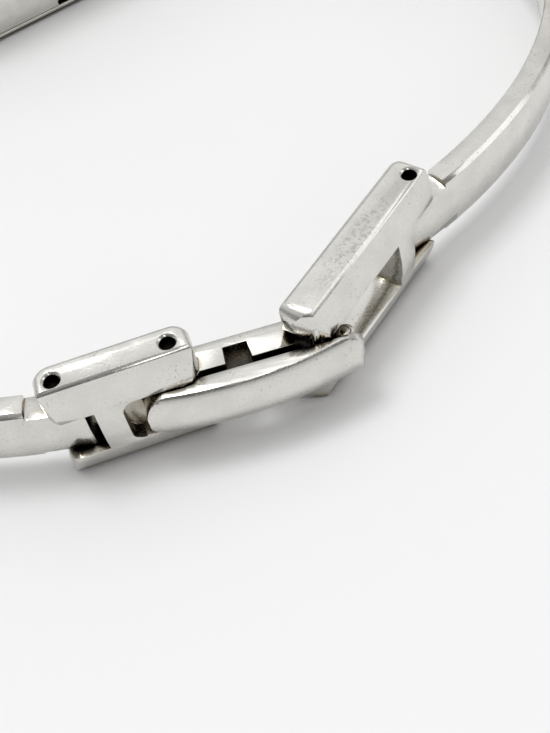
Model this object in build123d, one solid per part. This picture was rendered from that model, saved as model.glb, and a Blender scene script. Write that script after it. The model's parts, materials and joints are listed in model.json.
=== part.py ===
from build123d import *
from math import acos, asin, atan2, cos, degrees, hypot, radians, sin
import os

os.makedirs("parts", exist_ok=True)

# A small quartz bangle watch, closed and lying on its side.
# X runs along the strap at the case, Y goes out through the dial, Z goes across the band and up.
# The origin is the middle of the flat case flank that the watch lies on.
# Every hinge pin is parallel to Z.  At the clasp the outside of the band faces -Y.
# Twelve o'clock is towards +X and the crown, at three o'clock, is towards +Z.

# Case
case_length = 20.0
case_width = 14.6
case_height = 6.6
case_corner = 1.8
front_bevel = 0.7
back_bevel = 0.35
side_wall = 1.3
end_wall = 2.0
cavity_corner = 0.9
fit_gap = 0.05         # between pieces that are laid or snapped together
back_thickness = 0.7
back_overlap = 0.6     # how far the case back reaches under the walls
back_seal = 0.3
notch_width = 2.4      # knife notch of the snap back
notch_depth = 0.5
crystal_thickness = 1.2
crystal_overlap = 0.35
crystal_seal = 0.3
flange_depth = 1.1     # dial to the underside of the crystal
flange_overlap = 0.55
dial_thickness = 0.35
dial_hole = 0.45
overrun = 1.0          # how far a cutting shape runs past what it cuts

# Lugs
lug_gap = 2.5          # case end to the hinge pin
lug_rise = 0.7         # hinge pin above the outside of the case back
lug_radius = 1.3
lug_shoulder = 1.0     # height of the lug's root above the middle of the case

# Band
link_width = 8.8       # links across the band
slot_width = 3.9       # between the two ears of a link
slot_clearance = 0.1   # on each side of a tongue or rail in its slot
arm_width = 4.65
arm_wrist = 0.92       # centre line to the flat wrist side
arm_shoulder = 0.45    # centre line to where the outer bevel starts
arm_bevel = 0.26
arm_crown = 0.93       # centre line to the top of the dome
arm_edge = 0.12
arm_step = 2.4         # pin to the step where the arm gets its full width
lug_reach = 1.15       # tongue past the pin at the case
left_reach = 1.08      # the same at the clasp, left and right
right_reach = 1.92
arm_radii = (34.03, 22.7, 27.0, 36.0)    # centre line, from the case to the clasp
arm_turns = (22.94, 92.45, 19.0, 18.0)   # degrees
arm_lean_angle = -99.719   # direction from the left lug pin to the left arm's far pin, from X
clasp_span = 25.366    # between the far pins of the two arms when the clasp is shut

# Pins
pin_diameter = 0.96
pin_running = 0.03     # radial, in the tongue that turns on the pin
pin_recess = 1.3       # the pin ends lie this far below the faces of the ears
countersink = 0.14

# Left clasp link, drawn with its first pin at 0 and its outside towards -Y
left_pitch = 7.0
left_rest_angle = -15.162   # from the line between the arms' far pins
left_start = -1.15
left_past = 1.35       # past the second pin
left_inner = 1.19
left_edge = 0.61       # pin line to the outer edge of the ear's flat face
left_bevel = 0.2
left_crown = 1.70      # pin line to the top of the dome
left_corner = 1.1
left_outer_corner = 1.4
left_ends = (0.45, 0.9, 0.45, 0.5)     # ear corners seen from the front: outer and inner, left then right
left_soft = 0.32
recess_corner = 0.8
left_web = (1.6, 3.2)  # along the link
shelf_end = 5.0        # a shelf for the cover's nose runs on from the web to here
shelf_level = -0.5
link_round = 0.22
corner_share = 0.95    # of an ear's height that its outer and inner corner may take together

# Right clasp link, drawn with its pin at 0 and its outside towards -Y
right_length = 11.77   # latch bar to pin
bar_radius = 0.5
bar_drop = 0.3         # latch bar outside of the pin line
right_end = -12.95
right_slope = (0.55, -11.55)   # the sloping end goes from this height to this station
right_past = 0.95
right_inner = 1.63
right_edge = 0.35
right_bevel = 0.25
right_crown = 1.42
right_corner = 0.75
right_soft = 1.0
right_ends = (1.1, 1.2, 0.3, 0.6)
right_rim = 0.42
right_web = (-3.7, -2.08)

# Rail, drawn with its hinge barrel at 0
bar_station = 8.6      # the latch bar sits here along the rail
bar_offset = -0.6
seat_clearance = 0.08
seat_way = -42.0       # the latch bar leaves its seat in this direction, degrees from the rail
rail_outer = -0.8
rail_inner = 1.1
barrel_radius = 1.5
floor_level = 0.42     # bottom of the two notches, which open outwards
notch_slant = 0.05     # the notch walls lean by this much
first_notch = (2.9, 4.5)
second_notch = 7.2     # its left wall; the latch bar's seat is its right wall
notch_end = 8.0        # the floor rises from here to the seat
post_corner = (9.75, 0.72)
knuckle_x = 10.35
knuckle_y = -0.45
knuckle_radius = 0.55
rail_heel = 9.75

# Cover, drawn in the same place as the rail
knuckle_half = 1.2     # half the height of the whole hinge
lug_half = 0.5         # half the height of the middle hinge lug
lug_play = 0.06
cover_pin = 0.6
cover_skin = 0.35      # wall that wraps the hinge
cover_peak = (3.3, -2.95)
cover_radius = 27.0
cover_dome = 0.5
cover_bevel = 0.12
cover_inner = -1.28
cover_nose = -2.5
nose_inner = -1.0
nose_corner = 0.85
cover_lip = -0.8       # the wrapped end stops at this height
cover_relief = 0.15
nose_radius = 1.6      # the nose and the tail seen from the front
tail_corner = 1.6
tail_centre = (9.75, -0.65)
tail_radius = 1.6

# Movement, seen from the dial side.  Places and sizes in its plane are those of a calibre of this
# length and width, and all of them follow the plate when the case leaves it less room.
calibre = (13.0, 11.0)
holder_end = 1.5       # the holder's wall round the plate, at the ends and at the sides
holder_side = 0.5
plate_corner = 1.2
plate_back = -1.0
bridge_gap = 0.9       # plate to train bridge
bridge_thickness = 0.4
bridge_outline = ((-0.7, 0.6), (-0.7, -1.0), (-0.05, -3.0), (5.85, -2.5), (5.85, 1.9), (4.6, 2.3),
                  (2.9, 2.75), (1.8, 2.75))
bridge_posts = ((5.2, -1.8), (0.65, -2.45), (2.3, 2.2))
post_radius = 0.42
battery_diameter = 4.8
battery_thickness = 1.65
battery_place = (-3.85, -2.75)
battery_play = 0.06
strap_thickness = 0.1
strap_band = (-4.1, -3.5)
strap_run = (-5.2, 2.1)
strap_leg = 0.35
coil_diameter = 1.1
coil_length = 6.4
coil_place = (-1.7, 4.35)
core_thickness = 0.3
core_width = 0.8
core_tab = 1.1         # core past each end of the winding
stator_thickness = 0.3
stator_ring = (3.3, 5.25, 0.62, 2.15)
stator_gap = (4.0, 4.55)
stator_return = (2.7, 3.3)
board_thickness = 0.3
board_area = (1.5, 6.2, -5.1, -3.15)
chip_size = (1.1, 0.35)
chip_place = (5.4, -3.85)
can_diameter = 0.85
can_length = 2.4
can_place = (3.6, -4.3)
screw_head = (0.38, 0.22)
screw_shank = 0.18
screw_depth = 0.5
screw_slot = 0.12
train_module = 0.08
motion_module = 0.09
wheel_teeth = 30
center_teeth = 40
pinion_teeth = 10
hour_teeth = 32
hour_pinion_teeth = 8
third_angle = -18.0
intermediate_angle = 25.0
rotor_angle = 55.0
minute_wheel_angle = 200.0
gear_thickness = 0.14
pinion_thickness = 0.24
level_step = 0.27
first_level = 0.12     # plate to the nearest face of the center wheel
tooth_share = 0.36     # tooth width as a share of the pitch
tooth_tip = 0.85       # tooth above the pitch circle, in modules
tooth_root = 1.15      # tooth below it
root_share = 0.62      # half width of a tooth at its root and tip, as shares of its width
tip_share = 0.3
arbor_radius = 0.13
running = 0.03
arbor_depth = 0.35     # arbor into the plate
magnet_radius = 0.45
magnet_play = 0.13
motion_floor = 0.6     # depth of the pocket under the dial
stud_radius = 0.12
cannon_radius = 0.18
hour_tube = 0.33

# Dial and hands
hour_level = 0.3       # dial to the hour hand
hand_thickness = 0.1
hand_gap = 0.18
hour_length = 2.9
minute_length = 4.1
hand_width = 0.42
hand_tail = 0.9
hand_taper = 3.0       # the hand's ends are this much narrower
hand_point = 0.85      # the point starts at this share of the length
hour_angle = 304.0
minute_angle = 48.0
marker_thickness = 0.12
marker_length = 1.0
marker_width = 0.26
marker_inset = 0.55

# Crown
stem_radius = 0.35
stem_level = -0.55
stem_inner = 2.35      # inner end of the stem above the middle of the band
stem_groove = (3.0, 3.4)
groove_radius = 0.19
crown_radius = 1.45
crown_length = 1.7
crown_gap = 0.15
crown_hollow = 1.1
crown_ribs = 24
rib_depth = 0.09
tube_radius = 0.72
tube_stand = 1.05
crown_bore = 0.95
gasket_height = 0.25
gasket_play = 0.01
crown_pull = 0.6
lever_thickness = 0.2
lever_arm = (0.5, 1.55)
lever_wide = 0.3

# Worked out from the sizes above
mid = case_width / 2
case_end = case_length / 2
case_front = case_height / 2
case_rear = -case_height / 2
lug_x = case_end + lug_gap
lug_y = case_rear + lug_rise
slot_half = slot_width / 2
tongue_half = slot_half - slot_clearance
link_half = link_width / 2
pin_radius = pin_diameter / 2
pin_half = link_half - pin_recess
cavity_x = case_end - end_wall
cavity_z = mid - side_wall
plate_length = 2 * (cavity_x - holder_end)
plate_width = 2 * (cavity_z - holder_side)
plan_share = min(plate_length / calibre[0], plate_width / calibre[1])
back_level = case_rear + back_thickness
crystal_level = case_front - crystal_thickness
dial_front = crystal_level - flange_depth
dial_back = dial_front - dial_thickness
opening_x = cavity_x - flange_overlap
opening_z = cavity_z - flange_overlap
bridge_front = plate_back - bridge_gap
bridge_back = bridge_front - bridge_thickness


def slab(x0, x1, y0, y1, z0, z1):
    """A block given by its corners."""
    return Pos((x0 + x1) / 2, (y0 + y1) / 2, (z0 + z1) / 2) * Box(x1 - x0, y1 - y0, z1 - z0)


def post(x, y, radius, z0, z1):
    """A round bar along Z."""
    return Pos(x, y, (z0 + z1) / 2) * Cylinder(radius, z1 - z0)


def block(x0, x1, y0, y1, z0, z1):
    """A block in the movement, with x and z of the calibre from the middle of the dial."""
    share = plan_share
    return slab(x0 * share, x1 * share, y0, y1, mid + z0 * share, mid + z1 * share)


def disc(place, radius, y0, y1):
    """A round bar along Y in the movement, placed by x and z of the calibre."""
    x, z = place
    middle = Pos(x * plan_share, (y0 + y1) / 2, mid + z * plan_share)
    return middle * Rot(90, 0, 0) * Cylinder(radius * plan_share, y1 - y0)


def spool(place, diameter, length, y):
    """A round bar along X in the movement, placed by x and z of the calibre."""
    x, z = place
    middle = Pos(x * plan_share, y, mid + z * plan_share)
    return middle * Rot(0, 90, 0) * Cylinder(diameter * plan_share / 2, length * plan_share)


def pad(half_x, half_z, corner, y0, y1):
    """A block with rounded corners, centred on the dial."""
    face = Plane.XZ * RectangleRounded(2 * half_x, 2 * half_z, corner)
    return Pos(0, y1, mid) * extrude(face, y1 - y0)


def sheet(points, y0, y1):
    """A flat plate of the movement with an outline given by x and z of the calibre."""
    face = Plane.XZ * make_face(Polyline(*[(x * plan_share, z * plan_share) for x, z in points],
                                         close=True))
    return Pos(0, y1, mid) * extrude(face, y1 - y0)


def outline(points, half):
    """A plate with an outline in X and Y, reaching the same way up and down."""
    return extrude(make_face(Polyline(*points, close=True)), half, both=True)


def unit(angle):
    """A flat direction, in degrees from X."""
    return Vector(cos(radians(angle)), sin(radians(angle)), 0)


def step_from(place, reach, angle):
    """The point at a distance and direction from another, on the dial's plane."""
    return (place[0] + reach * cos(radians(angle)), place[1] + reach * sin(radians(angle)))


def local_point(place, x, y):
    """Where a point of a placed piece lies."""
    return (place * Location((x, y, 0))).position


def crossed(a, reach_a, b, reach_b):
    """The point at two distances from two points, on the outer side of the line between them."""
    gap = hypot(b.X - a.X, b.Y - a.Y)
    base = degrees(atan2(b.Y - a.Y, b.X - a.X))
    corner = degrees(acos((reach_a ** 2 + gap ** 2 - reach_b ** 2) / (2 * reach_a * gap)))
    return a + unit(base - corner) * reach_a


def lean(a, b):
    """Direction from one point to another, in degrees."""
    return degrees(atan2(b.Y - a.Y, b.X - a.X))


def arm_section():
    """The arm across its run: X is outwards, Y is across the band."""
    half = arm_width / 2
    low = arm_shoulder + arm_bevel
    lines = Polyline((low, arm_bevel - half), (arm_shoulder, -half), (arm_edge - arm_wrist, -half),
                     (-arm_wrist, arm_edge - half), (-arm_wrist, half - arm_edge),
                     (arm_edge - arm_wrist, half), (arm_shoulder, half), (low, half - arm_bevel))
    dome = ThreePointArc((low, half - arm_bevel), (arm_crown, 0), (low, arm_bevel - half))
    return make_face(lines + dome)


def arm_run(side, heading):
    """The arm's arcs from the case to the clasp, and the point and heading of its far end."""
    point = Vector(side * lug_x, lug_y, mid)
    arcs = []
    for radius, turn in zip(arm_radii, arm_turns):
        centre = point + unit(heading - side * 90) * radius
        arcs.append((point, heading, centre, turn))
        heading = heading - side * turn
        point = centre + unit(heading + side * 90) * radius
    return arcs, point, heading


def arm_plane(point, heading, side):
    """The plane of the arm's section at a point of its run."""
    return Plane(point, x_dir=unit(heading + side * 90), z_dir=unit(heading))


def tongue(body, point, heading, reach):
    """Cut the sides of an arm's end down to a tongue with a pin hole."""
    place = Location(point, (0, 0, heading))
    wide = arm_width + overrun
    step = slab(-arm_step, reach + overrun, -wide, wide, tongue_half, wide)
    body = body - place * step - place * mirror(step, Plane.XY)
    return body - post(point.X, point.Y, pin_radius + pin_running, 0, case_width)


def arm_heading(side, far_point):
    """The heading in which an arm leaves the case so that its far pin comes to a given point."""
    start = Vector(side * lug_x, lug_y, mid)
    return lean(start, far_point) - lean(start, arm_run(side, 0)[1])


def make_arm(side, far_point, clasp_reach, rounded):
    """One rigid half of the bangle, with a tongue at each end."""
    arcs, end_point, end_heading = arm_run(side, arm_heading(side, far_point))
    start_point, start_heading = arcs[0][0], arcs[0][1]
    pieces = []
    for point, heading, centre, turn in arcs:
        section = arm_plane(point, heading, side) * arm_section()
        pieces.append(revolve(section, Axis(centre, (0, 0, -side)), turn))
    near = extrude(arm_plane(start_point, start_heading, side) * arm_section(), -lug_reach)
    pieces.append(near & post(start_point.X, start_point.Y, lug_reach, 0, case_width))
    far = extrude(arm_plane(end_point, end_heading, side) * arm_section(), clasp_reach)
    if rounded:
        far = far & post(end_point.X, end_point.Y, clasp_reach, 0, case_width)
    pieces.append(far)
    body = pieces[0]
    for piece in pieces[1:]:
        body = body + piece
    body = tongue(body, start_point, start_heading + 180, lug_reach)
    return tongue(body, end_point, end_heading, clasp_reach)


def link_bar(x0, x1, inner, edge, bevel, crown):
    """A straight bar with the section of a link: flat inside, bevelled and domed outside."""
    low = -edge - bevel
    lines = Polyline((low, bevel - link_half), (-edge, -link_half), (inner, -link_half),
                     (inner, link_half), (-edge, link_half), (low, link_half - bevel))
    dome = ThreePointArc((low, link_half - bevel), (-crown, 0), (low, bevel - link_half))
    section = make_face(lines + dome)
    section = fillet(section.vertices().group_by(Axis.X)[-1], link_round)
    return Pos(x0, 0, 0) * extrude(Plane.YZ * section, x1 - x0)


def pin_hole(x):
    """A pin hole through both ears of a link, with its countersinks."""
    hole = post(x, 0, pin_radius, -link_half - overrun, link_half + overrun)
    sink = Pos(x, 0, link_half - countersink / 2) * Cone(pin_radius, pin_radius + countersink, countersink)
    return hole + sink + mirror(sink, Plane.XY)


def slot(x0, x1):
    """The space between the ears of a link."""
    tall = link_width
    return slab(x0, x1, -tall, tall, -slot_half, slot_half)


def front_view(x0, x1, corners):
    """The room a link may fill when it is seen from the front: two ears with rounded ends."""
    deep = link_width
    ear = slab(x0, x1, -deep, deep, slot_half, link_half)
    for side, (outer, inner) in ((0, corners[:2]), (-1, corners[2:])):
        fit = min(1, (link_half - slot_half) * corner_share / (outer + inner))
        for height, corner in ((-1, outer), (0, inner)):
            edge = ear.edges().filter_by(Axis.Y).group_by(Axis.X)[side].sort_by(Axis.Z)[height]
            ear = fillet(edge, corner * fit)
    return ear + mirror(ear, Plane.XY) + slab(x0, x1, -deep, deep, -slot_half, slot_half)


def make_left_link():
    """The hollow left link: two ears joined by a web, with a shelf for the cover's nose."""
    x1 = left_pitch + left_past
    body = link_bar(left_start, x1, left_inner, left_edge, left_bevel, left_crown)
    face = make_face(Polyline((left_start, -left_crown), (x1, -left_crown), (x1, left_inner),
                              (left_start, left_inner), close=True))
    face = fillet(face.vertices().group_by(Axis.Y)[-1], left_corner)
    face = fillet(face.vertices().group_by(Axis.Y)[0], left_outer_corner)
    side = extrude(face, link_half, both=True)
    side = fillet(side.faces().sort_by(Axis.Z)[0].edges() + side.faces().sort_by(Axis.Z)[-1].edges(),
                  left_soft)
    body = body & side & front_view(left_start, x1, left_ends)
    body = body - slot(left_start - overrun, left_web[0]) - slot(shelf_end, x1 + overrun)
    recess = slab(left_web[1], shelf_end + overrun, -left_crown - overrun, shelf_level,
                  -slot_half, slot_half)
    body = body - fillet(recess.edges().filter_by(Axis.Y).group_by(Axis.X)[0], recess_corner)
    return body - pin_hole(0) - pin_hole(left_pitch)


def make_right_link():
    """The long right link: two ears, a web by its pin, and a latch bar at the other end."""
    top_left, slope_low, slope_high, top_right, low_right = (
        (right_end, right_inner), (right_end, right_slope[0]), (right_slope[1], -right_crown),
        (right_past, -right_crown), (right_past, right_inner))
    face = make_face(Polyline(top_left, slope_low, slope_high, top_right, low_right, close=True))

    def near(shape, corners):
        return [v for v in shape.vertices() for x, y in corners if hypot(v.X - x, v.Y - y) < fit_gap]

    face = fillet(near(face, (top_left, top_right, low_right)), right_corner)
    face = fillet(near(face, (slope_low, slope_high)), right_soft)
    side = extrude(face, link_half, both=True)
    side = fillet(side.faces().sort_by(Axis.Z)[0].edges() + side.faces().sort_by(Axis.Z)[-1].edges(),
                  right_rim)
    body = side & link_bar(right_end - overrun, right_past + overrun, right_inner, right_edge,
                           right_bevel, right_crown)
    body = body & front_view(right_end, right_past, right_ends)
    body = body - slot(right_end - overrun, right_web[0]) - slot(right_web[1], right_past + overrun)
    bar_x = -(right_length ** 2 - bar_drop ** 2) ** 0.5
    body = body + post(bar_x, -bar_drop, bar_radius, -slot_half - overrun, slot_half + overrun)
    return body - pin_hole(0)


def make_rail():
    """The latch rail: a hinge barrel, two notches, a seat for the latch bar, and hinge knuckles."""
    kx, ky, kr = knuckle_x, knuckle_y, knuckle_radius
    points = ((0, rail_inner), (0, rail_outer), (rail_heel, rail_outer), (rail_heel, rail_inner))
    seat = bar_radius + seat_clearance
    body = outline(points, tongue_half) + post(0, 0, barrel_radius, -tongue_half, tongue_half)
    neck = outline(((rail_heel - kr, rail_outer), (kx, ky - kr), (kx, ky + kr), (rail_heel - kr, ky + kr)),
                   knuckle_half)
    body = body + neck + post(kx, ky, kr, -knuckle_half, knuckle_half)
    wall = ((rail_heel - cover_relief, rail_inner + overrun), (rail_heel - cover_relief, rail_inner),
            post_corner, (kx, ky + kr), (kx + overrun, ky + kr), (kx + overrun, rail_inner + overrun))
    body = body - outline(wall, tongue_half)
    body = body - slab(-link_width, rail_heel, rail_inner, link_width, -link_width, link_width)
    body = body - post(bar_station, bar_offset, seat, -link_width, link_width)
    way_out = Location((bar_station, bar_offset, 0), (0, 0, seat_way))
    body = body - way_out * slab(0, bar_station, -seat, seat, -link_width, link_width)
    left, right = first_notch
    body = body - outline(((left - notch_slant, rail_outer - overrun), (left + notch_slant, floor_level),
                           (right - notch_slant, floor_level), (right + notch_slant, rail_outer),
                           (right + notch_slant, rail_outer - overrun)), link_width)
    body = body - outline(((second_notch - notch_slant, rail_outer - overrun),
                           (second_notch + notch_slant, floor_level), (notch_end, floor_level),
                           (bar_station, bar_offset + seat), (bar_station, rail_outer - overrun)),
                          link_width)
    room = lug_half + lug_play
    body = body - post(kx, ky, kr + cover_relief, -room, room)
    body = body - slab(kx - kr - cover_relief, kx + link_width, -link_width, ky, -room, room)
    body = body - post(kx, ky, cover_pin / 2, -link_width, link_width)
    return body - post(0, 0, pin_radius + pin_running, -link_width, link_width)


def make_cover():
    """The hinged cover: a domed plate whose tail wraps round the hinge."""
    kx, ky = knuckle_x, knuckle_y
    lower = cover_peak[1]
    tail_x, tail_y = tail_centre
    end = tail_x + tail_radius
    points = ((cover_nose, nose_inner), (cover_nose, lower), (end, lower), (end, cover_lip),
              (kx, cover_lip), (kx, cover_inner), (0, cover_inner), (0, nose_inner))
    face = make_face(Polyline(*points, close=True))
    nose = [v for v in face.vertices() if hypot(v.X - cover_nose, v.Y - lower) < fit_gap]
    face = fillet(nose, nose_corner)
    body = extrude(face, tongue_half, both=True)
    tail = post(tail_x, tail_y, tail_radius, -link_width, link_width)
    body = body & (tail + slab(cover_nose, tail_x, -link_width, link_width, -link_width, link_width))
    front = slab(cover_nose, end, -link_width, link_width, -tongue_half, tongue_half)
    front = fillet(front.edges().filter_by(Axis.Y).group_by(Axis.X)[0], nose_radius)
    body = body & fillet(front.edges().filter_by(Axis.Y).group_by(Axis.X)[-1], tail_corner)
    centre = Vector(cover_peak[0], cover_peak[1] + cover_radius, 0)
    rim = cover_radius - cover_dome
    half = tongue_half
    inside = cover_radius + lower
    arc = ThreePointArc((rim - cover_bevel, half), (cover_radius, 0), (rim - cover_bevel, -half))
    lines = Polyline((rim - cover_bevel, -half), (inside / 2, -half), (inside / 2, half),
                     (rim - cover_bevel, half))
    section = Plane(centre, x_dir=(0, -1, 0), z_dir=(1, 0, 0)) * make_face(arc + lines)
    sweep = 60
    turned = revolve(section, Axis(centre, (0, 0, 1)), sweep) + revolve(
        section, Axis(centre, (0, 0, 1)), -sweep)
    body = body & turned
    clear = knuckle_radius + seat_clearance
    body = body - post(0, 0, barrel_radius + cover_relief, -link_width, link_width)
    body = body - post(kx, ky, clear, -link_width, link_width)
    lug = post(kx, ky, knuckle_radius, -lug_half, lug_half) + slab(
        kx - knuckle_radius, kx + knuckle_radius, ky - clear - cover_skin / 2, ky, -lug_half, lug_half)
    body = body + lug
    return body - post(kx, ky, cover_pin / 2, -link_width, link_width)


def gear(teeth, module, place, y0, y1, tooth_at):
    """A spur gear along Y with narrow straight-sided teeth, one of them at the given angle."""
    x, z = place
    pitch = 360 / teeth
    radius = module * teeth / 2
    tip, root = radius + module * tooth_tip, radius - module * tooth_root
    points = []
    for index in range(teeth):
        base = tooth_at + index * pitch
        for reach, share in ((root, -root_share), (tip, -tip_share), (tip, tip_share), (root, root_share)):
            angle = radians(base + pitch * tooth_share * share)
            points.append((reach * plan_share * cos(angle), reach * plan_share * sin(angle)))
    face = Plane.XZ * make_face(Polyline(*points, close=True))
    return Pos(x * plan_share, y1, mid + z * plan_share) * extrude(face, y1 - y0)


def frame_pad(outer, inner, y0, y1):
    """A rounded rectangular ring, each size given as half length, half width and corner."""
    return pad(*outer, y0, y1) - pad(*inner, y0 - overrun, y1 + overrun)


# The arms and the loop that the three clasp links close
left_lug, right_lug = Vector(-lug_x, lug_y, mid), Vector(lug_x, lug_y, mid)
arm_chord = (arm_run(1, 0)[1] - right_lug).length
left_end_point = left_lug + unit(arm_lean_angle) * arm_chord
right_end_point = crossed(left_end_point, clasp_span, right_lug, arm_chord)
left_place = Location(left_end_point, (0, 0, left_rest_angle + lean(left_end_point, right_end_point)))
rail_point = local_point(left_place, left_pitch, 0)
bar_point = crossed(rail_point, hypot(bar_station, bar_offset), right_end_point, right_length)
rail_angle = lean(rail_point, bar_point) - degrees(atan2(bar_offset, bar_station))
rail_place = Location(rail_point, (0, 0, rail_angle))
right_angle = lean(bar_point, right_end_point) - degrees(asin(bar_drop / right_length))
right_place = Location(right_end_point, (0, 0, right_angle))
hinge_point = local_point(rail_place, knuckle_x, knuckle_y)

left_arm = make_arm(-1, left_end_point, left_reach, False)
right_arm = make_arm(1, right_end_point, right_reach, True)
left_link = left_place * make_left_link()
right_link = right_place * make_right_link()
rail = rail_place * make_rail()
cover = rail_place * make_cover()


def pin_at(point, radius, half):
    """A plain pin through a hinge."""
    return post(point.X, point.Y, radius, mid - half, mid + half)


def make_case():
    """The case body with its two pairs of lugs and the hole for the crown tube."""
    body = pad(case_end, mid, case_corner, case_rear, case_front)
    fronts = body.edges().filter_by(lambda e: abs(e.center().Y - case_front) < fit_gap)
    body = chamfer(fronts, front_bevel)
    rears = body.edges().filter_by(lambda e: abs(e.center().Y - case_rear) < fit_gap)
    body = chamfer(rears, back_bevel)
    for side in (-1, 1):
        root = side * (case_end - end_wall / 2)
        ear = extrude(make_face(Polyline((root, lug_y - lug_radius), (side * lug_x, lug_y - lug_radius),
                                         (side * lug_x, lug_y + lug_radius), (root, lug_shoulder + lug_y),
                                         (root, lug_shoulder), close=True)), link_half, both=True)
        ear = ear & slab(-link_width * 2, link_width * 2, case_rear, case_front, -link_half, link_half)
        ear = ear + post(side * lug_x, lug_y, lug_radius, -link_half, link_half)
        ear = ear & slab(-link_width * 2, link_width * 2, case_rear, case_front, -link_half, link_half)
        gap = slab(side * lug_x - lug_gap, side * lug_x + lug_gap, -link_width, link_width, -slot_half,
                   slot_half)
        ear = ear - gap
        body = body + Pos(0, 0, mid) * ear
        body = body - Pos(side * lug_x, lug_y, mid) * pin_hole(0)
    body = body - pad(cavity_x, cavity_z, cavity_corner, case_rear - overrun, dial_front)
    body = body - pad(opening_x, opening_z, cavity_corner, dial_front - overrun, case_front + overrun)
    ledge = crystal_overlap + crystal_seal
    body = body - pad(opening_x + ledge, opening_z + ledge, cavity_corner + ledge, crystal_level,
                      case_front + overrun)
    body = body - pad(cavity_x + back_overlap, cavity_z + back_overlap, cavity_corner + back_overlap,
                      case_rear - overrun, back_level)
    return body - post(0, stem_level, tube_radius, mid + cavity_z - overrun, case_width + overrun)


case = make_case()
ledge = crystal_overlap + crystal_seal
crystal = pad(opening_x + crystal_overlap, opening_z + crystal_overlap, cavity_corner + crystal_overlap,
              crystal_level, case_front)
crystal_ring = frame_pad((opening_x + ledge, opening_z + ledge, cavity_corner + ledge),
                         (opening_x + crystal_overlap, opening_z + crystal_overlap,
                          cavity_corner + crystal_overlap), crystal_level, case_front - back_bevel)
lid = (cavity_x + back_overlap - fit_gap, cavity_z + back_overlap - fit_gap, cavity_corner + back_overlap)
rim = (cavity_x - fit_gap, cavity_z - fit_gap, cavity_corner)
groove = (cavity_x - fit_gap - back_seal, cavity_z - fit_gap - back_seal, cavity_corner)
case_back = pad(*lid, case_rear, back_level)
case_back = case_back - frame_pad(rim, groove, back_level - back_seal, back_level + overrun)
case_back = case_back - slab(-notch_width / 2, notch_width / 2, case_rear - overrun,
                             case_rear + notch_depth, 0, mid - cavity_z - back_overlap + notch_depth)
back_ring = frame_pad(rim, groove, back_level - back_seal, back_level)

# Dial, markers and hands
dial = pad(cavity_x - fit_gap, cavity_z - fit_gap, cavity_corner, dial_back, dial_front)
dial = dial - disc((0, 0), dial_hole, dial_back - overrun, dial_front + overrun)
hour_y = dial_front + hour_level
minute_y = hour_y + hand_thickness + hand_gap


def make_markers():
    """Twelve plain bars round the dial."""
    bars = []
    reach_x, reach_z = opening_x - marker_inset, opening_z - marker_inset
    for index in range(12):
        angle = radians(index * 30)
        limit = min(reach_x / max(abs(cos(angle)), fit_gap), reach_z / max(abs(sin(angle)), fit_gap))
        centre = limit - marker_length / 2
        bar = Box(marker_length, marker_thickness, marker_width)
        turn = Location((centre * cos(angle), dial_front + marker_thickness / 2, mid + centre * sin(angle)),
                        (0, -index * 30, 0))
        bars.append(turn * bar)
    return Compound(children=bars)


def make_hand(length, angle, y, bore):
    """A plain pointed hand."""
    end, point = hand_width / hand_taper, length * hand_point
    points = ((-hand_tail, -end), (-hand_tail, end), (0, hand_width / 2), (point, end), (length, 0),
              (point, -end), (0, -hand_width / 2))
    face = Plane.XZ * make_face(Polyline(*points, close=True))
    blade = extrude(face, hand_thickness)
    blade = Location((0, y + hand_thickness, mid), (0, -angle, 0)) * blade
    hub = disc((0, 0), bore + hand_width / 2, y, y + hand_thickness)
    return blade + hub - disc((0, 0), bore, y - overrun, y + overrun)


hour_hand = make_hand(hour_length, hour_angle, hour_y, hour_tube)
minute_hand = make_hand(minute_length, minute_angle, minute_y, cannon_radius)

# Going train, from the center wheel to the rotor
center = (0, 0)
big = train_module * (center_teeth + pinion_teeth) / 2
small = train_module * (wheel_teeth + pinion_teeth) / 2
motion = motion_module * (wheel_teeth + pinion_teeth) / 2
third = step_from(center, big, third_angle)
intermediate = step_from(third, small, intermediate_angle)
rotor_place = step_from(intermediate, small, rotor_angle)
minute_place = step_from(center, motion, minute_wheel_angle)
levels = [plate_back - first_level - index * level_step for index in range(3)]
front_end = plate_back + arbor_depth


def wheel_at(place, level, teeth, pinion_level, pinion, wheel_tooth, pinion_tooth):
    """A wheel and its pinion on one arbor between the main plate and the train bridge."""
    body = disc(place, arbor_radius, bridge_back + fit_gap, front_end)
    body = body + gear(teeth, train_module, place, level - gear_thickness, level, wheel_tooth)
    if pinion:
        high = pinion_level + (pinion_thickness - gear_thickness) / 2
        body = body + gear(pinion, train_module, place, high - pinion_thickness, high, pinion_tooth)
    return body


def facing(angle, teeth):
    """Angle for a tooth so that a gap faces back along the given direction."""
    return angle + 180 + 180 / teeth


center_wheel = disc(center, arbor_radius, bridge_back + fit_gap, minute_y) + gear(
    center_teeth, train_module, center, levels[0] - gear_thickness, levels[0], third_angle)
third_wheel = wheel_at(third, levels[1], wheel_teeth, levels[0], pinion_teeth, intermediate_angle,
                       facing(third_angle, pinion_teeth))
intermediate_wheel = wheel_at(intermediate, levels[2], wheel_teeth, levels[1], pinion_teeth, rotor_angle,
                              facing(intermediate_angle, pinion_teeth))
rotor = disc(rotor_place, arbor_radius, bridge_back + fit_gap, front_end) + gear(
    pinion_teeth, train_module, rotor_place, levels[2] - pinion_thickness + fit_gap, levels[2] + fit_gap,
    facing(rotor_angle, pinion_teeth))
stator_back = levels[1] - gear_thickness + fit_gap
stator_front = stator_back + stator_thickness
rotor = rotor + disc(rotor_place, magnet_radius, stator_back, stator_front)

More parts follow.
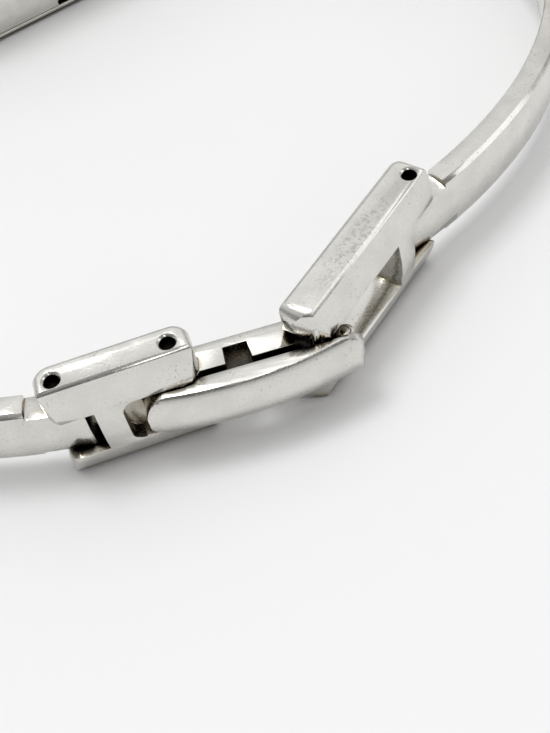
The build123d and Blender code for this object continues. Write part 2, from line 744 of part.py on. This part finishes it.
# Motion work under the dial
pocket_level = dial_back - motion_floor
cannon_low, cannon_high = pocket_level + fit_gap, pocket_level + fit_gap + pinion_thickness
cannon = gear(pinion_teeth, motion_module, center, cannon_low, cannon_high, minute_wheel_angle)
cannon = cannon + disc(center, cannon_radius, cannon_low, minute_y + hand_thickness + fit_gap)
cannon = cannon - disc(center, arbor_radius, cannon_low - overrun, minute_y)
minute_wheel = gear(wheel_teeth, motion_module, minute_place, cannon_low, cannon_low + gear_thickness,
                    facing(minute_wheel_angle, wheel_teeth))
hour_low = cannon_high + fit_gap
minute_wheel = minute_wheel + gear(hour_pinion_teeth, motion_module, minute_place, cannon_low, hour_low
                                   + gear_thickness + fit_gap, minute_wheel_angle + 180)
minute_wheel = minute_wheel - disc(minute_place, stud_radius + running, pocket_level, dial_back)
hour_wheel = gear(hour_teeth, motion_module, center, hour_low, hour_low + gear_thickness,
                  facing(minute_wheel_angle + 180, hour_teeth))
hour_wheel = hour_wheel + disc(center, hour_tube, hour_low, hour_y + hand_thickness + fit_gap)
hour_wheel = hour_wheel - disc(center, cannon_radius + running, hour_low - overrun, minute_y + overrun)


# Movement
core_back, core_front = stator_back - core_thickness, stator_back
core_half = coil_length / 2 + core_tab
coil_x, coil_z = coil_place
core_ends = (coil_x - core_half + core_tab / 2, coil_x + core_half - core_tab / 2)
coil_places = [(x, coil_z) for x in core_ends]
shank_top = plate_back + screw_depth
lever_level = plate_back + lever_thickness
strap_back = back_level + fit_gap / 2
battery_back = strap_back + strap_thickness
battery_front = battery_back + battery_thickness


def make_plate():
    """The main plate that carries every other piece of the movement."""
    body = pad(plate_length / 2, plate_width / 2, plate_corner, plate_back, dial_back)
    wide = motion_module * hour_teeth / 2 + motion_module + fit_gap * 2
    body = body - disc(center, wide, pocket_level, dial_back + overrun)
    body = body - disc(minute_place, motion_module * wheel_teeth / 2 + motion_module + fit_gap * 2,
                       pocket_level, dial_back + overrun)
    body = body + disc(minute_place, stud_radius, pocket_level, dial_back - fit_gap)
    body = body - disc(center, arbor_radius + running, plate_back - overrun, dial_back)
    for place in (third, intermediate, rotor_place):
        body = body - disc(place, arbor_radius + running, plate_back - overrun, front_end + fit_gap)
    body = body - disc(battery_place, battery_diameter / 2 + battery_play, plate_back - overrun,
                       battery_front)
    for place in list(bridge_posts) + coil_places:
        body = body - disc(place, screw_shank, plate_back - overrun, shank_top)
    body = body - post(0, stem_level, stem_radius + running, mid + stem_inner * plan_share - fit_gap,
                       case_width)
    low, high = stem_groove
    inner, outer = -stem_radius - lever_wide, lever_arm[1] + fit_gap
    return body - block(inner, outer, plate_back - overrun, lever_level + fit_gap / 2,
                        low - lever_wide, high + lever_wide + crown_pull + fit_gap)


def make_bridge():
    """The bridge that holds the back ends of the train's arbors, on three feet."""
    body = sheet(bridge_outline, bridge_back, bridge_front)
    for place in bridge_posts:
        body = body + disc(place, post_radius, bridge_back, plate_back)
        body = body - disc(place, screw_shank, bridge_back - overrun, plate_back + overrun)
    for place in (center, third, intermediate, rotor_place):
        body = body - disc(place, arbor_radius + running, bridge_back - overrun, bridge_front + overrun)
    return body


def make_stator():
    """The stator: one flat plate round the rotor with an arm to each end of the coil."""
    x0, x1, z0, z1 = stator_ring
    g0, g1 = stator_gap
    r0, r1 = stator_return
    y0, y1 = stator_back, stator_front
    tab0, tab1 = coil_z - core_width / 2, coil_z + core_width / 2
    left0, left1 = core_ends[0] - core_tab / 2, core_ends[0] + core_tab / 2
    body = block(x0, x1, y0, y1, z0, z1) + block(g1, x1, y0, y1, z1, tab1)
    body = body + block(core_ends[1] - core_tab / 2, x1, y0, y1, tab0, tab1)
    body = body + block(x0, g0, y0, y1, z1, r1) + block(left0, g0, y0, y1, r0, r1)
    body = body + block(left0, left1, y0, y1, r0, tab1)
    body = body - disc(rotor_place, magnet_radius + magnet_play, y0 - overrun, y1 + overrun)
    for place in coil_places:
        body = body - disc(place, screw_shank, y0 - overrun, y1 + overrun)
    return body


main_plate = make_plate()
bridge = make_bridge()
stator = make_stator()
core = block(coil_x - core_half, coil_x + core_half, core_back, core_front, coil_z - core_width / 2,
             coil_z + core_width / 2)
for place in coil_places:
    core = core - disc(place, screw_shank, core_back - overrun, core_front + overrun)
winding = spool(coil_place, coil_diameter, coil_length, (core_back + core_front) / 2)
winding = winding - block(coil_x - core_half, coil_x + core_half, core_back, core_front,
                          coil_z - core_width / 2, coil_z + core_width / 2)


def screw_at(place, seat):
    """A small slotted screw with its head on the given level."""
    radius, height = screw_head
    body = disc(place, radius, seat - height, seat) + disc(place, screw_shank, seat - height, shank_top)
    x, z = place
    return body - block(x - radius, x + radius, seat - height - overrun, seat - height + screw_slot,
                        z - screw_slot / 2, z + screw_slot / 2)


screws = Compound(children=[screw_at(place, bridge_back) for place in bridge_posts]
                  + [screw_at(place, core_back) for place in coil_places])
battery = disc(battery_place, battery_diameter / 2, battery_back, battery_front)
battery = chamfer(battery.edges().filter_by(GeomType.CIRCLE), strap_thickness)
board_x0, board_x1, board_z0, board_z1 = board_area
board_back = plate_back - board_thickness
board = block(board_x0, board_x1, board_back, plate_back, board_z0, board_z1)
strap = block(*strap_run, strap_back, battery_back, *strap_band)
strap = strap + block(strap_run[1] - strap_leg, strap_run[1], battery_back, board_back, *strap_band)
chip_x, chip_z = chip_place
chip_half = chip_size[0] / 2
chip = block(chip_x - chip_half, chip_x + chip_half, board_back - chip_size[1], board_back,
             chip_z - chip_half, chip_z + chip_half)
can = spool(can_place, can_diameter, can_length, board_back - can_diameter * plan_share / 2)
holder_outer = (cavity_x - fit_gap, cavity_z - fit_gap, cavity_corner)
holder_inner = (plate_length / 2 + fit_gap, plate_width / 2 + fit_gap, plate_corner)
holder = frame_pad(holder_outer, holder_inner, back_level + fit_gap, dial_back)
holder = holder - post(0, stem_level, tube_radius + fit_gap, mid + plate_width / 2 - overrun, case_width)

# Crown and stem
groove_low, groove_high = stem_groove
crown_base = case_width + crown_gap
crown_top = crown_base + crown_length
hollow_top = crown_base + crown_hollow
stem = post(0, stem_level, stem_radius, mid + stem_inner * plan_share, hollow_top)
neck = (mid + groove_low * plan_share, mid + groove_high * plan_share)
stem = stem - (post(0, stem_level, stem_radius + overrun, *neck)
               - post(0, stem_level, groove_radius, *neck))
crown = post(0, stem_level, crown_radius, crown_base, crown_top)
crown = chamfer(crown.edges().filter_by(GeomType.CIRCLE), rib_depth * 2)
for index in range(crown_ribs):
    angle = 360 / crown_ribs * index
    rib = Location((0, stem_level, 0), (0, 0, angle)) * slab(
        crown_radius - rib_depth, crown_radius + overrun, -rib_depth, rib_depth, crown_base - overrun,
        crown_top + overrun)
    crown = crown - rib
crown = crown - post(0, stem_level, crown_bore, crown_base - overrun, hollow_top)
tube_bore = stem_radius + running * 2
tube = post(0, stem_level, tube_radius, mid + cavity_z, case_width + tube_stand)
tube = tube - post(0, stem_level, tube_bore, 0, crown_top)
seal = post(0, stem_level, crown_bore, crown_base + fit_gap, crown_base + fit_gap + gasket_height)
seal = seal - post(0, stem_level, tube_radius + gasket_play, 0, crown_top)
lever_half = (groove_high - groove_low) / 2 - fit_gap
lever_z = (groove_high + groove_low) / 2
lever = block(-stem_radius, lever_arm[1], plate_back, lever_level, lever_z - lever_half,
              lever_z + lever_half)
lever = lever + block(*lever_arm, plate_back, lever_level, lever_z - lever_half - lever_wide / 2,
                      lever_z + lever_half + lever_wide / 2)

pieces = {
    "case_middle": case, "case_back": case_back, "back_gasket": back_ring, "crystal": crystal,
    "crystal_gasket": crystal_ring, "dial": dial, "hour_markers": make_markers(),
    "hour_hand": hour_hand, "minute_hand": minute_hand, "movement_holder": holder,
    "main_plate": main_plate, "train_bridge": bridge, "movement_screws": screws, "battery": battery,
    "battery_contact": strap, "circuit_board": board, "driver_chip": chip, "quartz_oscillator": can,
    "coil_winding": winding, "coil_core": core, "stator": stator, "rotor": rotor,
    "intermediate_wheel": intermediate_wheel, "third_wheel": third_wheel,
    "center_wheel": center_wheel, "cannon_pinion": cannon, "minute_wheel": minute_wheel,
    "hour_wheel": hour_wheel, "stem": stem, "crown": crown, "crown_tube": tube,
    "crown_gasket": seal, "setting_lever": lever, "left_arm": left_arm, "right_arm": right_arm,
    "left_link": left_link, "right_link": right_link, "clasp_rail": rail, "clasp_cover": cover,
    "left_lug_pin": pin_at(Vector(-lug_x, lug_y, 0), pin_radius, pin_half),
    "right_lug_pin": pin_at(Vector(lug_x, lug_y, 0), pin_radius, pin_half),
    "left_arm_pin": pin_at(left_end_point, pin_radius, pin_half),
    "rail_pin": pin_at(rail_point, pin_radius, pin_half),
    "right_arm_pin": pin_at(right_end_point, pin_radius, pin_half),
    "cover_pin": pin_at(hinge_point, cover_pin / 2, knuckle_half),
}
for name, piece in pieces.items():
    export_step(piece, f"parts/{name}.step")

for name, where in (("left arm pin", left_end_point), ("rail pin", rail_point), ("latch bar", bar_point),
                    ("right arm pin", right_end_point), ("cover pin", hinge_point)):
    print(name, round(where.X, 4), round(where.Y, 4))
print("angles", round(rail_angle, 4), round(right_angle, 4))
for name, place in (("third", third), ("intermediate", intermediate), ("rotor", rotor_place),
                    ("minute", minute_place)):
    print(name, round(place[0] * plan_share, 4), round(mid + place[1] * plan_share, 4))
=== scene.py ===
import json
from math import atan, cos, radians, sin

import bpy
from mathutils import Matrix, Vector


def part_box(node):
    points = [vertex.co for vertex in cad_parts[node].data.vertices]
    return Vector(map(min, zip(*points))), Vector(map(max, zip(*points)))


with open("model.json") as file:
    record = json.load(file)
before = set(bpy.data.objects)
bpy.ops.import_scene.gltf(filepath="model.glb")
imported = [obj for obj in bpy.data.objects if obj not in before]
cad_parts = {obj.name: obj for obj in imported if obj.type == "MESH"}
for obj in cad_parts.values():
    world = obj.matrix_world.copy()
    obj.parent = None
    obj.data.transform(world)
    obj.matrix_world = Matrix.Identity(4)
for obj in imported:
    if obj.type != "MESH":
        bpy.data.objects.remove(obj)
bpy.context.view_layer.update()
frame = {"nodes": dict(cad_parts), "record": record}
nodes = frame["nodes"]
MM = 0.001

# Photograph: its frame, and where its camera stands, counted from the left arm's clasp pin
PHOTO_WIDTH = 550
FOCAL_PIXELS = 1100
SENSOR_MM = 36.0
CAMERA_FROM_PIN = Vector((-2.057, -40.825, 54.32)) * MM
CAMERA_PIN = "left_arm_pin"
CAMERA_HEADING = 0.3665      # radians, from +Y towards +X
CAMERA_DROP = 0.9464         # radians below the horizon
CAMERA_ROLL = 0.2421         # radians, the picture's right side turns down

# Edges and fine relief
EDGE_ROUND = 0.07 * MM
EDGE_STEPS = 2
SMOOTH_ANGLE = radians(24)
WELD_GAP = 0.0005 * MM
RELIEF_DEPTH = 0.02 * MM

# Steel: sizes in mm, and ranges of a noise field from where an effect starts to where it is full
STEEL = (0.735, 0.722, 0.682)
STEEL_DARKER = 0.90
STEEL_ROUGHNESS = (0.12, 0.21)
MOTTLE_RANGE = (0.3, 0.7)
HAZE_SIZE = 1.6
GRAIN_SIZE = 0.12
TONE_RANGE = (0.35, 0.62)
HAZE_IN_TONE, GRAIN_IN_TONE = 0.75, 0.25
SCRATCH_SIZE = (1.5, 0.06, 0.06)     # length, width and depth of the field's grains
SCRATCH_TURNS = ((0, 0, 12), (0, 0, -50), (0, 35, 64), (25, 0, 150), (0, 70, 20))
SCRATCH_RANGE = (0.62, 0.72)
SCRATCH_ROUGHNESS = 0.12
HAZE_RELIEF, SCRATCH_RELIEF, GRAIN_RELIEF = 2.0, 0.25, 0.15
STEEL_RELIEF = 0.10
SPECK_SIZE = 0.2
SPECK_RANGE = (0.62, 0.72)
SPECK_TONE = 0.58
WORN_SIZE = 2.6                      # patches in which the specks are thick
WORN_TURN = (20, 40, 10)
WORN_RANGE = (0.46, 0.60)
WORN_SHARE = (0.1, 0.8)              # of the specks, outside such a patch and in it
SCUFF = ((-1.0, -52.85, 11.7), (5.2, 0.9, 0.6), (0, 0, 25.4))    # middle, reach, turn: right link's top
SCUFF_FADE = (0.5, 1.1)              # in shares of that reach
SCUFF_RANGE = (0.46, 0.66)
SCUFF_SHARE = 0.7

# Other surfaces: shares of a colour and of a roughness, and the crystal
PLAIN_DARKER = 0.86
PLAIN_ROUGHNESS = (0.8, 1.2)
GLASS_TINT = (0.97, 0.985, 0.98)
GLASS_IOR = 1.5
SMEAR_SIZE = 4
SMEAR_ROUGHNESS = (0.0, 0.02)

# Painted shade and dirt: its colour by how open a surface is, from 0 in a deep slot to 1 on a free face;
# the darkening in slots, notches, pin holes and where parts come close is painted shade, tinted brown as
# dirt
SHADE_REACH = 1.4 * MM
SHADE_SAMPLES = 8
SHADE_AND_DIRT = ((0.36, (0.03, 0.027, 0.023)), (0.50, (0.30, 0.235, 0.165)), (0.62, (0.56, 0.52, 0.43)))
SHADE_ENDS = (0.58, 0.74)            # a surface more open than the second has none
SHADE_POWERS = (3, 1)                # in a spot's middle, and outside it
SHADE_SPOT_FADE = (0.8, 1.05)              # in shares of a spot's reach
PAINTED_SHADE_SPOTS = (                      # mm: middle and reach of the places where the painted shade lies thickest
    ((-10.5, -53.67, 7.3), (1.35, 1.35, 3.2)),      # the rail's two notches
    ((-6.4, -55.0, 7.3), (1.6, 1.6, 3.2)),
    ((-21.2, -51.2, 5.3), (0.95, 1.1, 0.62)),       # under the left arm's tongue
    ((-19.5, -51.5, 6.6), (0.8, 1.3, 2.2)),         # between that tongue and the web
)

# Floor: the watch leans on it from the case's back edge to the clasp
FLOOR_SIZE = 3.0
FLOOR_COLOUR = (0.88, 0.88, 0.883)
FLOOR_ROUGHNESS = 0.6
FLOOR_GLOSS = 0.2
CASE_NODE = "case_middle"
CLASP_NODE = "left_link"

# Room: the height of a view and the brightness there, and how that changes from side to side
SKY = ((0.0, 0.85), (0.12, 0.80), (0.24, 0.41), (0.5, 0.46), (0.70, 0.80), (0.84, 0.77), (0.94, 1.35),
       (1.0, 2.1))
SKY_SIDES = (0.30, 1.40)             # behind the camera, and beyond the watch
HORIZON = (0.12, 0.24)               # heights between which that change sets in
HORIZON_STRENGTH = 1.0

# Lamps: name, place, the point that each faces, size and power
LAMPS = (
    ("top", (-0.06, 0.08, 0.46), (0, -0.03, 0), 0.16, 0.68),
    ("front", (-0.10, -0.53, 0.36), (0, -0.05, 0.005), 0.14, 0.16),
    ("side", (0.315, -0.245, 0.166), (0, -0.053, 0.012), 0.21, 0.15),    # shows in the right link's bevel
)


def new_material(name):
    """An empty node material and its Principled shader."""
    material = bpy.data.materials.new(name)
    material.use_nodes = True
    tree = material.node_tree
    shader = tree.nodes["Principled BSDF"]
    return material, tree, shader


def add(tree, kind, **settings):
    """A node with its settings."""
    node = tree.nodes.new(kind)
    for key, value in settings.items():
        setattr(node, key, value)
    return node


def place_texture(tree, stretch, turn=(0, 0, 0), middle=(0, 0, 0)):
    """Object coordinates, turned and stretched along each axis, and counted from a point in mm."""
    coordinates = add(tree, "ShaderNodeTexCoord")
    mapping = add(tree, "ShaderNodeMapping", vector_type="TEXTURE")
    mapping.inputs["Rotation"].default_value = [radians(angle) for angle in turn]
    mapping.inputs["Scale"].default_value = [size * MM for size in stretch]
    mapping.inputs["Location"].default_value = [size * MM for size in middle]
    tree.links.new(coordinates.outputs["Object"], mapping.inputs["Vector"])
    return mapping.outputs["Vector"]


def from_middle(tree, middle, reach, turn=(0, 0, 0)):
    """How far a point is from the middle of an ellipsoid, 1 at its surface."""
    far = add(tree, "ShaderNodeVectorMath", operation="LENGTH")
    tree.links.new(place_texture(tree, reach, turn, middle), far.inputs[0])
    return far.outputs["Value"]


def noise(tree, size, detail, turn=(0, 0, 0)):
    """A noise field whose grains have the given size in mm, along each axis or all round."""
    field = add(tree, "ShaderNodeTexNoise")
    field.inputs["Scale"].default_value = 1.0
    field.inputs["Detail"].default_value = detail
    stretch = size if isinstance(size, tuple) else (size, size, size)
    tree.links.new(place_texture(tree, stretch, turn), field.inputs["Vector"])
    return field.outputs["Fac"]


def to_range(tree, value, before, after=(0, 1)):
    """Maps a value from one range to another."""
    node = add(tree, "ShaderNodeMapRange")
    for socket, limit in zip(("From Min", "From Max", "To Min", "To Max"), (*before, *after)):
        node.inputs[socket].default_value = limit
    tree.links.new(value, node.inputs["Value"])
    return node.outputs["Result"]


def combine(tree, how, first, second):
    """One arithmetic step on two values."""
    node = add(tree, "ShaderNodeMath", operation=how)
    for socket, value in zip(node.inputs, (first, second)):
        if isinstance(value, float):
            socket.default_value = value
        else:
            tree.links.new(value, socket)
    return node.outputs[0]


def mix_colours(tree, share, first, second):
    """A colour between two, each of them fixed or from another node."""
    node = add(tree, "ShaderNodeMix", data_type="RGBA")
    tree.links.new(share, node.inputs["Factor"])
    for socket, colour in (("A", first), ("B", second)):
        if isinstance(colour, tuple):
            node.inputs[socket].default_value = (*colour, 1)
        else:
            tree.links.new(colour, node.inputs[socket])
    return node.outputs["Result"]


def ramp_colours(tree, value, stops):
    """A colour along a ramp of places and colours."""
    ramp = add(tree, "ShaderNodeValToRGB")
    elements = ramp.color_ramp.elements
    for place, _ in stops[1:-1]:
        elements.new(place)
    for element, (place, colour) in zip(elements, stops):
        element.position = place
        element.color = (*colour, 1)
    tree.links.new(value, ramp.inputs["Fac"])
    return ramp.outputs["Color"]


def darker(colour, share):
    """The same colour at a share of its brightness."""
    return tuple(channel * share for channel in colour)


def bump(tree, shader, height, strength):
    """Fine relief from a height field."""
    node = add(tree, "ShaderNodeBump")
    node.inputs["Strength"].default_value = strength
    node.inputs["Distance"].default_value = RELIEF_DEPTH
    tree.links.new(height, node.inputs["Height"])
    tree.links.new(node.outputs["Normal"], shader.inputs["Normal"])


def with_painted_shade_and_dirt(tree, clean):
    """A clean colour that turns brown and then nearly black in notches, slots and pin holes: painted
    shade where the surface is closed in, tinted brown as dirt.
    """
    # ambient occlusion darkens the colour here: painted shade in recesses and between parts
    closed = add(tree, "ShaderNodeAmbientOcclusion", samples=SHADE_SAMPLES)
    closed.inputs["Distance"].default_value = SHADE_REACH
    thick = None
    for middle, reach in PAINTED_SHADE_SPOTS:
        spot = to_range(tree, from_middle(tree, middle, reach), SHADE_SPOT_FADE, SHADE_POWERS)
        thick = spot if thick is None else combine(tree, "MAXIMUM", thick, spot)
    open_share = combine(tree, "POWER", closed.outputs["AO"], thick)
    share = to_range(tree, open_share, SHADE_ENDS, (1, 0))
    return mix_colours(tree, share, clean, ramp_colours(tree, open_share, SHADE_AND_DIRT))


def scratches(tree):
    """Hair-fine scratches in several directions, 1 in a scratch."""
    lines = None
    for turn in SCRATCH_TURNS:
        field = to_range(tree, noise(tree, SCRATCH_SIZE, 1, turn), SCRATCH_RANGE)
        lines = field if lines is None else combine(tree, "MAXIMUM", lines, field)
    return lines


def specks(tree):
    """Small dark specks: a few all over, more in worn patches and most on the right link's top."""
    pits = noise(tree, SPECK_SIZE, 2)
    worn = to_range(tree, noise(tree, WORN_SIZE, 2, WORN_TURN), WORN_RANGE, WORN_SHARE)
    scuffed = to_range(tree, from_middle(tree, *SCUFF), SCUFF_FADE, (SCUFF_SHARE, 0))
    common = combine(tree, "MULTIPLY", to_range(tree, pits, SPECK_RANGE), worn)
    scuffs = combine(tree, "MULTIPLY", to_range(tree, pits, SCUFF_RANGE), scuffed)
    return combine(tree, "MAXIMUM", common, scuffs)


def polished_steel(name):
    """Polished steel with a soft haze, scratches, specks, and painted shade with a brown dirt tint in its
    recesses.
    """
    material, tree, shader = new_material(name)
    shader.inputs["Metallic"].default_value = 1.0
    haze = noise(tree, HAZE_SIZE, 4)
    grain = noise(tree, GRAIN_SIZE, 2)
    lines = scratches(tree)

    rough = to_range(tree, haze, MOTTLE_RANGE, STEEL_ROUGHNESS)
    rough = combine(tree, "ADD", rough, combine(tree, "MULTIPLY", lines, SCRATCH_ROUGHNESS))
    tree.links.new(rough, shader.inputs["Roughness"])

    tone = combine(tree, "ADD", combine(tree, "MULTIPLY", haze, HAZE_IN_TONE),
                   combine(tree, "MULTIPLY", grain, GRAIN_IN_TONE))
    clean = ramp_colours(tree, to_range(tree, tone, TONE_RANGE),
                         ((0, darker(STEEL, STEEL_DARKER)), (1, STEEL)))
    clean = mix_colours(tree, specks(tree), clean, darker(STEEL, SPECK_TONE))
    # the base colour gets painted shade in recesses and where parts come close
    tree.links.new(with_painted_shade_and_dirt(tree, clean), shader.inputs["Base Color"])

    relief = combine(tree, "SUBTRACT", combine(tree, "MULTIPLY", haze, HAZE_RELIEF),
                     combine(tree, "MULTIPLY", lines, SCRATCH_RELIEF))
    relief = combine(tree, "ADD", relief, combine(tree, "MULTIPLY", grain, GRAIN_RELIEF))
    bump(tree, shader, relief, STEEL_RELIEF)
    return material


def plain(name, colour, roughness, metallic=0.0, grain=0.6, depth=0.1):
    """A plain surface with a little mottling and grain."""
    material, tree, shader = new_material(name)
    shader.inputs["Metallic"].default_value = metallic
    field = noise(tree, grain, 4)
    mottled = ramp_colours(tree, to_range(tree, field, MOTTLE_RANGE),
                           ((0, darker(colour, PLAIN_DARKER)), (1, colour)))
    tree.links.new(mottled, shader.inputs["Base Color"])
    rough = to_range(tree, field, MOTTLE_RANGE, [roughness * share for share in PLAIN_ROUGHNESS])
    tree.links.new(rough, shader.inputs["Roughness"])
    bump(tree, shader, field, depth)
    return material


def glass(name):
    """The clear mineral crystal, with faint smears."""
    material, tree, shader = new_material(name)
    shader.inputs["Transmission Weight"].default_value = 1.0
    shader.inputs["IOR"].default_value = GLASS_IOR
    shader.inputs["Base Color"].default_value = (*GLASS_TINT, 1)
    smears = to_range(tree, noise(tree, SMEAR_SIZE, 2), MOTTLE_RANGE, SMEAR_ROUGHNESS)
    tree.links.new(smears, shader.inputs["Roughness"])
    return material


materials = {
    "polished_steel": polished_steel("polished_steel"),
    "dark_pin": plain("dark_pin", (0.27, 0.262, 0.25), 0.4, 1.0),
    "crystal_glass": glass("crystal_glass"),
    "gasket_rubber": plain("gasket_rubber", (0.03, 0.03, 0.03), 0.6),
    "dial_white": plain("dial_white", (0.80, 0.79, 0.76), 0.4, 0.0, 0.3, 0.05),
    "dark_metal": plain("dark_metal", (0.10, 0.10, 0.11), 0.22, 1.0),
    "holder_plastic": plain("holder_plastic", (0.66, 0.66, 0.63), 0.5),
    "gilt_brass": plain("gilt_brass", (0.83, 0.62, 0.30), 0.28, 1.0),
    "cell_steel": plain("cell_steel", (0.66, 0.66, 0.66), 0.25, 1.0),
    "copper_wire": plain("copper_wire", (0.70, 0.30, 0.14), 0.3, 1.0),
    "soft_iron": plain("soft_iron", (0.42, 0.42, 0.43), 0.35, 1.0),
    "rotor_metal": plain("rotor_metal", (0.22, 0.22, 0.23), 0.35, 1.0),
    "board_green": plain("board_green", (0.05, 0.22, 0.12), 0.45),
    "chip_black": plain("chip_black", (0.02, 0.02, 0.02), 0.4),
    "can_metal": plain("can_metal", (0.76, 0.76, 0.74), 0.25, 1.0),
}
slot_of = {part["node"]: part["material_slot"] for part in frame["record"]["subparts"]}


def dress(name):
    """Gives a CAD node its material, smooth shading and slightly rounded edges."""
    piece = nodes[name]
    piece.data.materials.clear()
    piece.data.materials.append(materials[slot_of[name]])
    weld = piece.modifiers.new("weld", "WELD")
    weld.merge_threshold = WELD_GAP
    soft = piece.modifiers.new("edges", "BEVEL")
    soft.width = EDGE_ROUND
    soft.segments = EDGE_STEPS
    soft.limit_method = "ANGLE"
    soft.angle_limit = SMOOTH_ANGLE
    soft.harden_normals = True
    piece.data.shade_smooth()


for node_name in nodes:
    dress(node_name)


def make_camera():
    """The photograph's camera."""
    camera = bpy.data.cameras.new("camera")
    camera.sensor_fit = "HORIZONTAL"
    camera.sensor_width = SENSOR_MM
    camera.lens = SENSOR_MM * FOCAL_PIXELS / PHOTO_WIDTH
    camera.clip_start = MM
    holder = bpy.data.objects.new("camera", camera)
    bpy.context.scene.collection.objects.link(holder)
    ahead = Vector((sin(CAMERA_HEADING) * cos(CAMERA_DROP), cos(CAMERA_HEADING) * cos(CAMERA_DROP),
                    -sin(CAMERA_DROP)))
    level = Vector((cos(CAMERA_HEADING), -sin(CAMERA_HEADING), 0))
    down = ahead.cross(level)
    right = level * cos(CAMERA_ROLL) + down * sin(CAMERA_ROLL)
    up = level * sin(CAMERA_ROLL) - down * cos(CAMERA_ROLL)
    turn = Matrix((right, up, -ahead)).transposed().to_4x4()
    pin_low, pin_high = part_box(CAMERA_PIN)
    place = (Vector(pin_low) + Vector(pin_high)) / 2 + CAMERA_FROM_PIN
    holder.matrix_world = Matrix.Translation(place) @ turn
    bpy.context.scene.camera = holder


def make_floor():
    """A pale table that touches the case's back edge and the clasp's lower ears."""
    case_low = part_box(CASE_NODE)[0]
    clasp_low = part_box(CLASP_NODE)[0]
    lean = atan((clasp_low.z - case_low.z) / (case_low.y - clasp_low.y))
    bpy.ops.mesh.primitive_plane_add(size=FLOOR_SIZE, location=(0, case_low.y, case_low.z),
                                     rotation=(-lean, 0, 0))
    floor = bpy.context.object
    floor.name = "floor"
    material, _, shader = new_material("floor")
    shader.inputs["Base Color"].default_value = (*FLOOR_COLOUR, 1)
    shader.inputs["Roughness"].default_value = FLOOR_ROUGHNESS
    shader.inputs["Specular IOR Level"].default_value = FLOOR_GLOSS
    floor.data.materials.append(material)


def make_lamp(name, place, target, size, power):
    """A soft square lamp that faces a point."""
    lamp = bpy.data.lights.new(name, "AREA")
    lamp.shape = "SQUARE"
    lamp.size = size
    lamp.energy = power
    holder = bpy.data.objects.new(name, lamp)
    bpy.context.scene.collection.objects.link(holder)
    holder.location = place
    holder.rotation_euler = (Vector(target) - Vector(place)).to_track_quat("-Z", "Y").to_euler()


def make_world():
    """A pale room: bright overhead and at the horizon, greyer between, brightest beyond the watch."""
    world = bpy.data.worlds.new("room")
    bpy.context.scene.world = world
    world.use_nodes = True
    tree = world.node_tree
    background = tree.nodes["Background"]
    direction = add(tree, "ShaderNodeTexCoord").outputs["Generated"]
    split = add(tree, "ShaderNodeSeparateXYZ")
    tree.links.new(direction, split.inputs["Vector"])
    height = split.outputs["Z"]
    greys = tuple((place, (level, level, level)) for place, level in SKY)
    tree.links.new(ramp_colours(tree, height, greys), background.inputs["Color"])
    ahead = add(tree, "ShaderNodeVectorMath", operation="DOT_PRODUCT")
    tree.links.new(direction, ahead.inputs[0])
    ahead.inputs[1].default_value = (sin(CAMERA_HEADING), cos(CAMERA_HEADING), 0)
    change = [strength - HORIZON_STRENGTH for strength in SKY_SIDES]
    side = to_range(tree, ahead.outputs["Value"], (-1, 1), change)
    side = combine(tree, "MULTIPLY", side, to_range(tree, height, HORIZON))
    tree.links.new(combine(tree, "ADD", side, HORIZON_STRENGTH), background.inputs["Strength"])


make_camera()
make_floor()
make_world()
for settings in LAMPS:
    make_lamp(*settings)

bpy.context.scene.view_settings.view_transform = "Standard"
